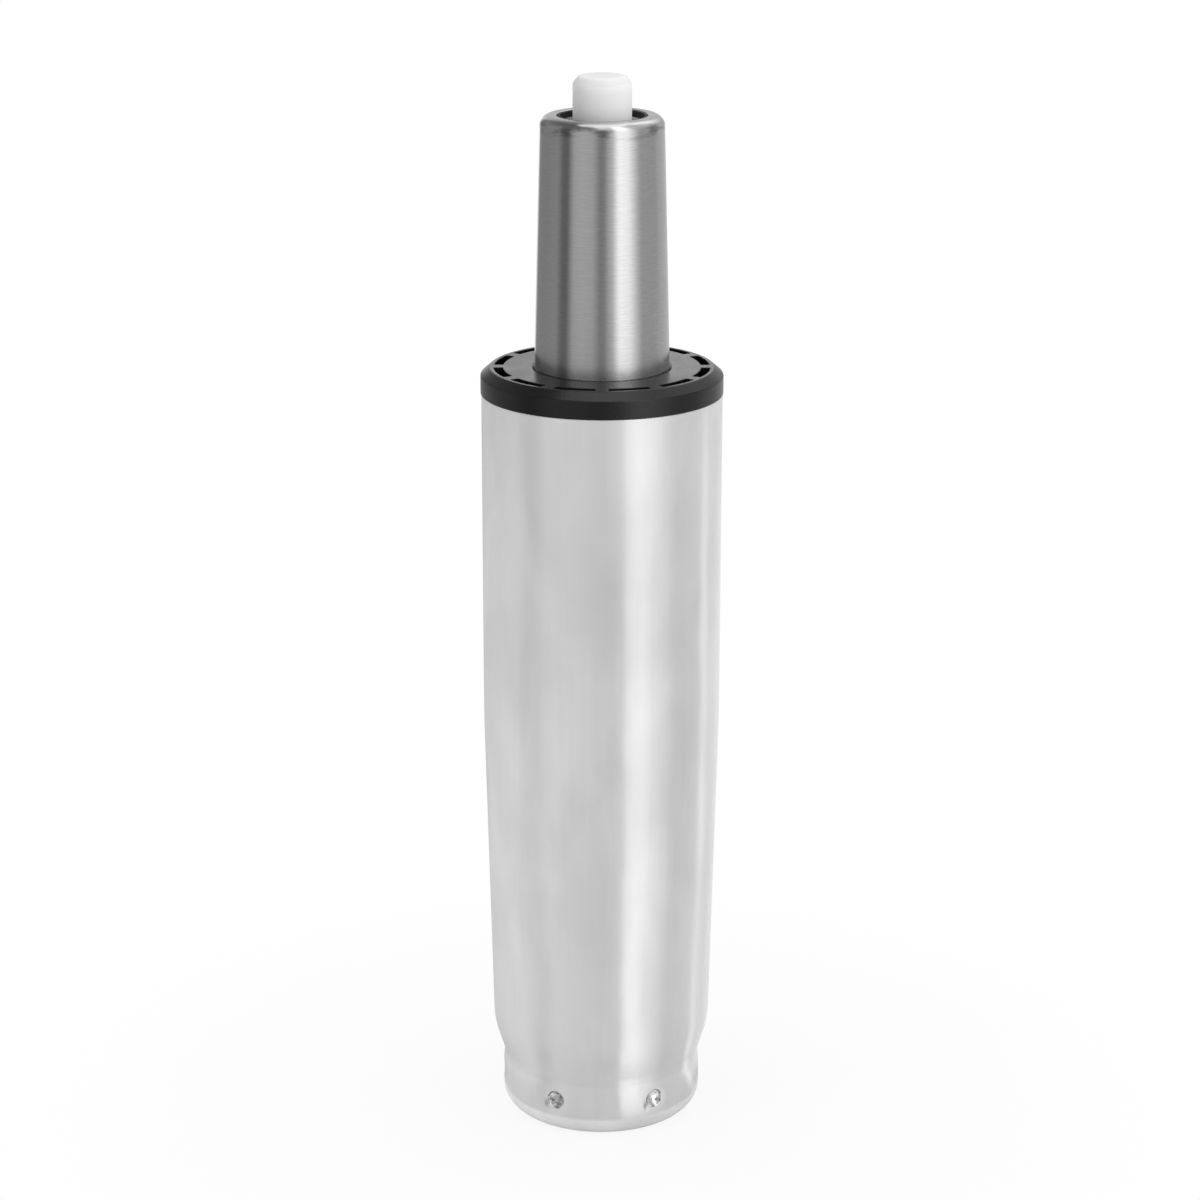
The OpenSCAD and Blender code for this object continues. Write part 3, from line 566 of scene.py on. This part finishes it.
SLOTS = {
    "tube_steel": tube_steel(),
    "cylinder_steel": cylinder_steel(),
    "collar_plastic": plastic("black_collar_plastic", (0.006, 0.006, 0.0062), 0.27, Specular_IOR_Level=0.42),
    "button_plastic": milky_plastic(),
    "washer_zinc": turned_metal("zinc_washer", (0.36, 0.36, 0.36), 0.42, metal=0.35),
    "black_rubber": plastic("black_rubber", (0.012, 0.012, 0.012), 0.6),
    "plate_steel": turned_metal("zinc_plate", (0.58, 0.59, 0.60), 0.38),
    "bearing_steel": turned_metal("ground_bearing_steel", (0.72, 0.73, 0.74), 0.18),
    "retainer_plastic": plastic("natural_nylon", (0.78, 0.74, 0.64), 0.45, vary=0.05),
    "rod_chrome": turned_metal("chromed_rod", (0.80, 0.80, 0.80), 0.10),
    "clip_steel": turned_metal("oiled_clip_steel", (0.22, 0.22, 0.235), 0.35),
    "turned_aluminium": turned_metal("turned_aluminium", (0.78, 0.78, 0.79), 0.28),
    "guide_plastic": plastic("natural_acetal", (0.80, 0.79, 0.75), 0.40, vary=0.04),
}

for row in frame["record"]["subparts"]:
    node = NODES[row["node"]]
    node.data.materials.clear()
    node.data.materials.append(SLOTS[row["material_slot"]])


# Turned and pressed pieces, in mm

def smooth(t):
    t = np.clip(t, 0, 1)
    return t * t * (3 - 2 * t)


def filleted(path, step=6.0):
    """Corners of a path [r, z, fillet], rounded: rows of r, z and the outward normal.

    The path is walked with the metal on its right: down the outside, inwards below, up the inside.
    The step is the most degrees from one row of a rounding to the next.
    """
    pts = np.array([p[:2] for p in path], float)
    rows = []
    for i in range(1, len(path) - 1):
        p, q, s, fillet = pts[i - 1], pts[i], pts[i + 1], path[i][2]
        before, after = (q - p) / np.linalg.norm(q - p), (s - q) / np.linalg.norm(s - q)
        n0, n1 = math.atan2(before[0], -before[1]), math.atan2(after[0], -after[1])
        turn = (n1 - n0 + math.pi) % (2 * math.pi) - math.pi
        if abs(turn) < STRAIGHT:
            rows.append((*q, math.cos(n0), math.sin(n0)))
            continue
        reach = fillet * math.tan(abs(turn) / 2)
        side = 1.0 if turn < 0 else -1.0
        start = q - before * reach
        middle = start - side * fillet * np.array([math.cos(n0), math.sin(n0)])
        count = max(2, int(math.ceil(abs(math.degrees(turn)) / step)))
        for t in np.linspace(n0, n0 + turn, count + 1):
            n = np.array([math.cos(t), math.sin(t)])
            rows.append((*(middle + side * fillet * n), *n))
    return np.array(rows)


def lengths(rows):
    """The way along a profile to each of its rows."""
    return np.r_[0, np.cumsum(np.hypot(*np.diff(rows[:, :2], axis=0).T))]


def resampled(rows, places):
    """Rows at the given lengths along a fine profile."""
    run = lengths(rows)
    out = np.stack([np.interp(places, run, rows[:, k]) for k in range(4)], -1)
    out[:, 2:] /= np.linalg.norm(out[:, 2:], axis=1)[:, None]
    return out


def stations(first, ends, counts):
    """The first place, then counts[i] even places from ends[i] to ends[i + 1], each end once."""
    parts = [np.linspace(a, b, n)[:-1] for a, b, n in zip(ends, ends[1:], counts)]
    return np.r_[first, np.concatenate(parts), ends[-1]]


def shaded_mesh(name, points, faces, normals):
    """A smooth mesh with the given normals. Quads without area are left out."""
    points = np.asarray(points)
    quads = [f for f in faces if len(f) == 4]
    corner = points[np.array(quads)]
    area = np.linalg.norm(np.cross(corner[:, 2] - corner[:, 0], corner[:, 3] - corner[:, 1]), axis=1)
    kept = [f for f, a in zip(quads, area) if a > NO_AREA] + [f for f in faces if len(f) != 4]
    mesh = bpy.data.meshes.new(name)
    mesh.from_pydata((points * MM).tolist(), [], kept)
    mesh.update()
    mesh.shade_smooth()
    mesh.normals_split_custom_set_from_vertices([tuple(n) for n in normals])
    obj = bpy.data.objects.new(name, mesh)
    SCENE.collection.objects.link(obj)
    return obj


def revolved(rows, a, push=0.0):
    """Points and normals of the rows turned to the angles in radians. push moves them towards the axis."""
    r = rows[:, 0][None] - push
    points = np.stack([r * np.cos(a), r * np.sin(a), rows[:, 1][None] + 0 * a * r], -1)
    normals = np.stack([rows[:, 2] * np.cos(a), rows[:, 2] * np.sin(a), rows[:, 3] + 0 * a], -1)
    return points, normals


def turned(name, rows, angles, push=None):
    """A closed turned piece from a closed profile. push moves its points towards the axis."""
    points, normals = revolved(rows, np.radians(angles)[:, None], 0.0 if push is None else push)
    if push is not None:
        along = np.roll(points, -1, 1) - np.roll(points, 1, 1)
        around = np.roll(points, -1, 0) - np.roll(points, 1, 0)
        fine = np.cross(along, around)
        fine /= np.maximum(np.linalg.norm(fine, axis=-1), 1e-12)[..., None]
        moved = np.abs(push) > MOVED
        for axis in (0, 1):
            moved = moved | np.roll(moved, 1, axis) | np.roll(moved, -1, axis)
        normals = np.where(moved[..., None], fine, normals)
    na, nr = points.shape[:2]
    faces = [(i * nr + j, i * nr + (j + 1) % nr, (i + 1) % na * nr + (j + 1) % nr, (i + 1) % na * nr + j)
             for i in range(na) for j in range(nr)]
    return shaded_mesh(name, points.reshape(-1, 3), faces, normals.reshape(-1, 3))


def strip(rows, angles):
    """Points, faces and normals of an open turned strip."""
    points, normals = revolved(rows, np.radians(angles)[:, None])
    na, nr = points.shape[:2]
    faces = [(i * nr + j, i * nr + j + 1, (i + 1) % na * nr + j + 1, (i + 1) % na * nr + j)
             for i in range(na) for j in range(nr - 1)]
    return points.reshape(-1, 3), faces, normals.reshape(-1, 3)


def placed(obj, node, body, slot):
    """Puts a piece in a CAD node's place."""
    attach(obj, body)
    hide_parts(node)
    obj.data.materials.append(SLOTS[slot])


def dent_push(angle, z, inside):
    """How far the punch marks push the wall in at these angles and heights."""
    total = np.zeros_like(angle)
    for k, centre in enumerate(DENTS):
        u = np.radians((angle - centre + 180) % 360 - 180) * FOOT_R
        v = z - DENT_Z
        rho, phi = np.hypot(u, v), np.arctan2(v, u)
        if inside:
            total += 1.2 * smooth((2.15 - rho) / 1.1)
            continue
        rim = 2.0 + 0.07 * np.sin(2 * phi + 1.3 * k) + 0.045 * np.sin(3 * phi + 2.1 * k)
        rim += 0.02 * np.sin(7 * phi + k)
        wall = np.clip((rim - rho) / 0.95, 0, 1)
        pit = 0.95 * np.clip(1 - (rho / rim) ** 2, 0, 1) + 0.12 * smooth((rim - rho) / 0.25)
        rough = 0.07 * np.sin(9.0 * u + 2.7 * k) * np.sin(8.0 * v + 1.7 * k)
        pit += rough * (wall > 0.6) * (wall - 0.6)
        raised = 0.05 * np.exp(-((rho - 2.1) / 0.16) ** 2) * (0.6 + 0.6 * np.sin(phi + 1.9 * k + 0.8))
        dish = 0.30 * np.clip(1 - (rho / 3.1) ** 2, 0, 1) ** 2
        drag = 0.12 * np.exp(-((u + 2.0) / 0.35) ** 2 - ((v + 1.7) / 0.8) ** 2)
        total += pit + dish - raised + drag * (rho < 3.4)
    return total


def column_tube():
    """The tube with its base cone, shoulder, neck, rolled rim and punch marks."""
    spread = math.tan(math.radians(SHOULDER_ANGLE))
    cone_foot = TUBE_R - BASE_CONE_TOP * BASE_CONE_SLOPE - NECK_R + NECK_Z * spread
    cone_foot /= spread - BASE_CONE_SLOPE
    cone_foot_r = TUBE_R - (BASE_CONE_TOP - cone_foot) * BASE_CONE_SLOPE
    fine = filleted([[TUBE_R, COLLAR_TOP, 0], [TUBE_R, TUBE_TOP, 0], [TUBE_R, BASE_CONE_TOP, 30.0],
                     [cone_foot_r, cone_foot, 18.0], [NECK_R, NECK_Z, 5.0], [FOOT_R, FOOT_TOP, 5.0],
                     [FOOT_R, 0.0, 5.0], [RIM_OPEN_R, 0.0, 0], [5.0, 0.0, 0]], step=1.0)
    run = lengths(fine)
    dent_foot, dent_top = DENT_ZONE

    def at(z):
        return np.interp(-z, -fine[:, 1], run)

    # Rows of points lie evenly between these places, and closest in the zone of the punch marks.
    top, high, low = 2.0, at(95), at(45)
    foot = [at(dent_top), at(dent_foot), run[-1] - RIM_EDGE]
    outer = resampled(fine, stations(TOP_EDGE, [top, high, low, *foot], [5, 8, 44, 64, 22]))
    inner = resampled(fine, stations(TOP_EDGE, [top, low, *foot], [7, 18, 32, 12]))[::-1].copy()
    inner[:, :2] -= TUBE_WALL * inner[:, 2:]
    inner[:, 2:] *= -1
    bend = np.radians(np.linspace(-90, -270, 11)[1:-1])
    arcs = ((RIM_EDGE, bend[:5]), (TUBE_WALL - RIM_EDGE, bend[4:]))
    turns = [(z, math.cos(t), math.sin(t)) for z, arc in arcs for t in arc]
    lip = np.array([(RIM_OPEN_R + RIM_EDGE * (1 + c), z + RIM_EDGE * s, c, s) for z, c, s in turns])
    ring = [(r, TUBE_TOP, 0, 1) for r in (TUBE_R - TUBE_WALL + TOP_EDGE, TUBE_R - TOP_EDGE)]
    rows = np.vstack([outer, lip, inner, ring])
    # Columns of points lie closer across a punch mark than between two.
    one_mark = np.r_[np.linspace(-9.2, 9.2, 47), np.linspace(11.4, 48.6, 18)]
    angles = np.concatenate([one_mark + centre for centre in DENTS])
    push = np.zeros((len(angles), len(rows)))
    for j, z in enumerate(rows[:, 1]):
        if dent_foot < z < dent_top:
            push[:, j] = dent_push(angles, z, j >= len(outer))
    return turned("column_tube", rows, angles, push)


def slot_outline(grow):
    """A collar slot's outline, x along its arc and y from the axis, and its outward directions."""
    half = math.radians(SLOT_HALF) * SLOT_R
    long_side, short_side = 2 * (half - SLOT_CORNER), SLOT_OUT - SLOT_IN - 2 * SLOT_CORNER
    # Corner signs, the corner's first angle, then the side that follows: direction, length, number of steps
    corners = [(1, -1, -90, 0, 1, short_side, 4), (1, 1, 0, -1, 0, long_side, 14),
               (-1, 1, 90, 0, -1, short_side, 4), (-1, -1, 180, 1, 0, long_side, 14)]
    reach = SLOT_CORNER + grow
    out = []
    for sx, sy, first, dx, dy, length, count in corners:
        middle = SLOT_OUT - SLOT_CORNER if sy > 0 else SLOT_IN + SLOT_CORNER
        for t in np.radians(np.linspace(first, first + 90, 5)):
            out.append((sx * (half - SLOT_CORNER) + reach * math.cos(t), middle + reach * math.sin(t),
                        math.cos(t), math.sin(t)))
        x0, y0, nx, ny = out[-1]
        for k in range(1, count):
            out.append((x0 + dx * length * k / count, y0 + dy * length * k / count, nx, ny))
    return np.array(out)


def cell_outline():
    """The points of a cell's edge that face those of its slot's outline."""
    cell = slot_outline(SLOT_EDGE)
    slot_half = np.array([math.radians(SLOT_HALF) * SLOT_R, (SLOT_OUT - SLOT_IN) / 2]) + SLOT_EDGE
    cell_half = math.radians(SLOT_PITCH / 2) * SLOT_R, (CELL_OUT - CELL_IN) / 2
    for i, (x, y, nx, ny) in enumerate(cell.copy()):
        f = np.array([x, y - SLOT_R]) / slot_half
        f = f / np.abs(f).max()
        if abs(abs(nx) - abs(ny)) < 0.01:
            f = np.sign(f)
        cell[i, :2] = cell_half[0] * f[0], (CELL_IN + CELL_OUT) / 2 + cell_half[1] * f[1]
    return cell


def slot_cell(turn, parts):
    """One twelfth of the collar's flat top, with its slot's well, and of the underside above the pocket."""
    def polar(x, y, z):
        a = np.radians(turn) + x / SLOT_R
        return np.stack([y * np.cos(a), y * np.sin(a), z + 0 * a], -1)

    def facing(nx, ny, nz, x):
        a = np.radians(turn) + x / SLOT_R
        return np.stack([ny * np.cos(a) - nx * np.sin(a), ny * np.sin(a) + nx * np.cos(a), nz + 0 * a], -1)

    def band(loops, normals):
        n, m = len(loops), len(loops[0])
        faces = [(j * m + i, (j + 1) * m + i, (j + 1) * m + (i + 1) % m, j * m + (i + 1) % m)
                 for j in range(n - 1) for i in range(m)]
        parts.append((np.vstack(loops), faces, np.vstack(normals)))

    rim, cell = slot_outline(SLOT_EDGE), cell_outline()
    flat = np.zeros(len(rim))
    loops = [polar(cell[:, 0], cell[:, 1], COLLAR_TOP), polar(rim[:, 0], rim[:, 1], COLLAR_TOP)]
    normals = [facing(flat, flat, 1.0, cell[:, 0]), facing(flat, flat, 1.0, rim[:, 0])]
    for t in np.radians((30, 60, 90)):
        ring = slot_outline(SLOT_EDGE * (1 - math.sin(t)))
        loops.append(polar(ring[:, 0], ring[:, 1], COLLAR_TOP - SLOT_EDGE * (1 - math.cos(t))))
        normals.append(facing(-ring[:, 2] * math.sin(t), -ring[:, 3] * math.sin(t), math.cos(t), ring[:, 0]))
    ring = slot_outline(0.0)
    loops.append(polar(ring[:, 0], ring[:, 1], COLLAR_UNDER))
    normals.append(facing(-ring[:, 2], -ring[:, 3], 0.0, ring[:, 0]))
    band(loops, normals)
    # The ledge on the outer wall under the slot, then the underside round the slot
    kept = np.minimum(ring[:, 1], POCKET_OUT)
    up, down = facing(flat, flat, 1.0, ring[:, 0]), facing(flat, flat, -1.0, ring[:, 0])
    ledge = polar(ring[:, 0], kept, COLLAR_UNDER)
    band([polar(ring[:, 0], ring[:, 1], COLLAR_UNDER), ledge], [up, up])
    edge = np.where(cell[:, 1] < (CELL_IN + CELL_OUT) / 2, POCKET_IN, POCKET_OUT)
    band([ledge, polar(cell[:, 0], edge, COLLAR_UNDER)], [down, down])


def rib_faces(turn, parts):
    """Both sides and the foot of the rib between two pockets."""
    a = math.radians(turn)
    out, side = np.array([math.cos(a), math.sin(a), 0]), np.array([-math.sin(a), math.cos(a), 0])
    up = np.array([0, 0, 1.0])
    one_face = [(0, 1, 2, 3)]
    corners = ((RIB_IN, RIB_FOOT), (RIB_OUT, RIB_FOOT), (RIB_OUT, COLLAR_UNDER), (RIB_IN, COLLAR_UNDER))
    for s in (-1, 1):
        quad = [r * out + s * RIB_HALF * side + z * up for r, z in corners][::-s]
        parts.append((np.array(quad), one_face, np.repeat([s * side], 4, 0)))
    quad = [r * out + s * RIB_HALF * side + RIB_FOOT * up
            for r, s in ((RIB_IN, -1), (RIB_IN, 1), (RIB_OUT, 1), (RIB_OUT, -1))]
    parts.append((np.array(quad), one_face, np.repeat([-up], 4, 0)))


def collar_sleeve():
    """The guide sleeve: skirt and bore as turned strips, and between them slot cells and ribs."""
    cell = cell_outline()
    fan = sorted({round(math.degrees(x / SLOT_R), 7) for x, y, _, _ in cell if y > CELL_OUT - 1e-4})[:-1]
    middles = [SLOT_PITCH * (k + 0.5) for k in range(SLOT_COUNT)]
    angles = [middle + a for middle in middles for a in fan]
    skirt = filleted([[19.0, COLLAR_TOP, 0], [CELL_OUT, COLLAR_TOP, 0], [COLLAR_FLAT_R, COLLAR_TOP, 0.5],
                      [COLLAR_R, COLLAR_BEVEL_Z, 0.4], [COLLAR_R, TUBE_TOP, 0.12], [SLEEVE_R, TUBE_TOP, 0.05],
                      [SLEEVE_R, SLEEVE_FOOT + 5.0, 2.0], [SLEEVE_TIP_R, SLEEVE_FOOT, 0.3],
                      [POCKET_OUT, SLEEVE_FOOT, 0.1], [POCKET_OUT, 100.0, 0], [POCKET_OUT, COLLAR_UNDER, 0],
                      [POCKET_OUT, 163.0, 0]], step=12.0)
    bore = filleted([[POCKET_IN, 163.0, 0], [POCKET_IN, COLLAR_UNDER, 0], [POCKET_IN, SLEEVE_FOOT, 0.1],
                     [SLEEVE_BORE_R, SLEEVE_FOOT, 0.3], [SLEEVE_BORE_R, RELIEF_FOOT, 0.2],
                     [RELIEF_R, RELIEF_FOOT + RELIEF_SLANT, 0.2], [RELIEF_R, RELIEF_TOP - RELIEF_SLANT, 0.2],
                     [SLEEVE_BORE_R, RELIEF_TOP, 0.2], [SLEEVE_BORE_R, 164.45, 0.25],
                     [14.55, COLLAR_TOP, 0.35], [CELL_IN, COLLAR_TOP, 0], [22.0, COLLAR_TOP, 0]], step=12.0)
    parts = [strip(skirt, angles), strip(bore, angles)]
    for middle in middles:
        slot_cell(middle, parts)
    for k in range(SLOT_COUNT):
        rib_faces(SLOT_PITCH * k, parts)
    start, points, faces, normals = 0, [], [], []
    for part_points, part_faces, part_normals in parts:
        points.append(part_points)
        normals.append(part_normals)
        faces += [tuple(i + start for i in face) for face in part_faces]
        start += len(part_points)
    return shaded_mesh("collar_sleeve", np.vstack(points), faces, np.vstack(normals))


def milky_button():
    """The button with its flange and the hole for the valve pin. Two small discs close it on the axis."""
    rows = filleted([[0, BUTTON_TOP, 0], [MIDDLE_DISC_R, BUTTON_TOP, 0], [BUTTON_RING_R, BUTTON_TOP, 0],
                     [BUTTON_FLAT_R, BUTTON_TOP, 0.8], [BUTTON_R, BUTTON_TOP - BUTTON_CHAMFER_H, 1.0],
                     [BUTTON_R, FLANGE_TOP, 0.15], [FLANGE_R, FLANGE_TOP, 0.3], [FLANGE_R, FLANGE_FOOT, 0.2],
                     [PIN_HOLE_R, FLANGE_FOOT, 0.2], [PIN_HOLE_R, PIN_HOLE_TOP, 0.2],
                     [MIDDLE_DISC_R, PIN_HOLE_TOP, 0], [0, PIN_HOLE_TOP, 0]], step=5.0)
    angles = np.linspace(0, 360, 121)[:-1]
    points, faces, normals = strip(rows, angles)
    na, nr = len(angles), len(rows)
    faces.append(tuple(i * nr for i in range(na)))
    faces.append(tuple(i * nr + nr - 1 for i in reversed(range(na))))
    return shaded_mesh("milky_button", points, faces, normals)


def cylinder_shell():
    """The cylinder with its seat cone and turned-in mouth."""
    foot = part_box("pressure_cylinder")[0][2] / MM
    inner_foot = foot + END_WALL
    under = SEAT_CONE_TOP - MOUTH_WALL
    start = [11.0, SEAT_CONE_TOP, 0]
    rows = filleted([start, [SEAT_CONE_TOP_R, SEAT_CONE_TOP, 1.95], [CYLINDER_R, SEAT_CONE_FOOT, 8.0],
                     [CYLINDER_R, foot, 2.8], [END_HOLE_R, foot, 0.3], [END_HOLE_R, inner_foot, 0.3],
                     [CYLINDER_BORE_R, inner_foot, 0.8], [CYLINDER_BORE_R, SEAT_CONE_FOOT, 8.0],
                     [SEAT_CONE_BORE_R, under, 0.2], [MOUTH_R, under, 0.1], [MOUTH_R, SEAT_CONE_TOP, 0.25],
                     start], step=6.0)
    return turned("cylinder_shell", rows, np.linspace(0, 360, 181)[:-1])


placed(cylinder_shell(), "pressure_cylinder", "cylinder", "cylinder_steel")
placed(column_tube(), "outer_tube", "column", "tube_steel")
placed(collar_sleeve(), "guide_sleeve", "column", "collar_plastic")
placed(milky_button(), "release_button", "button", "button_plastic")
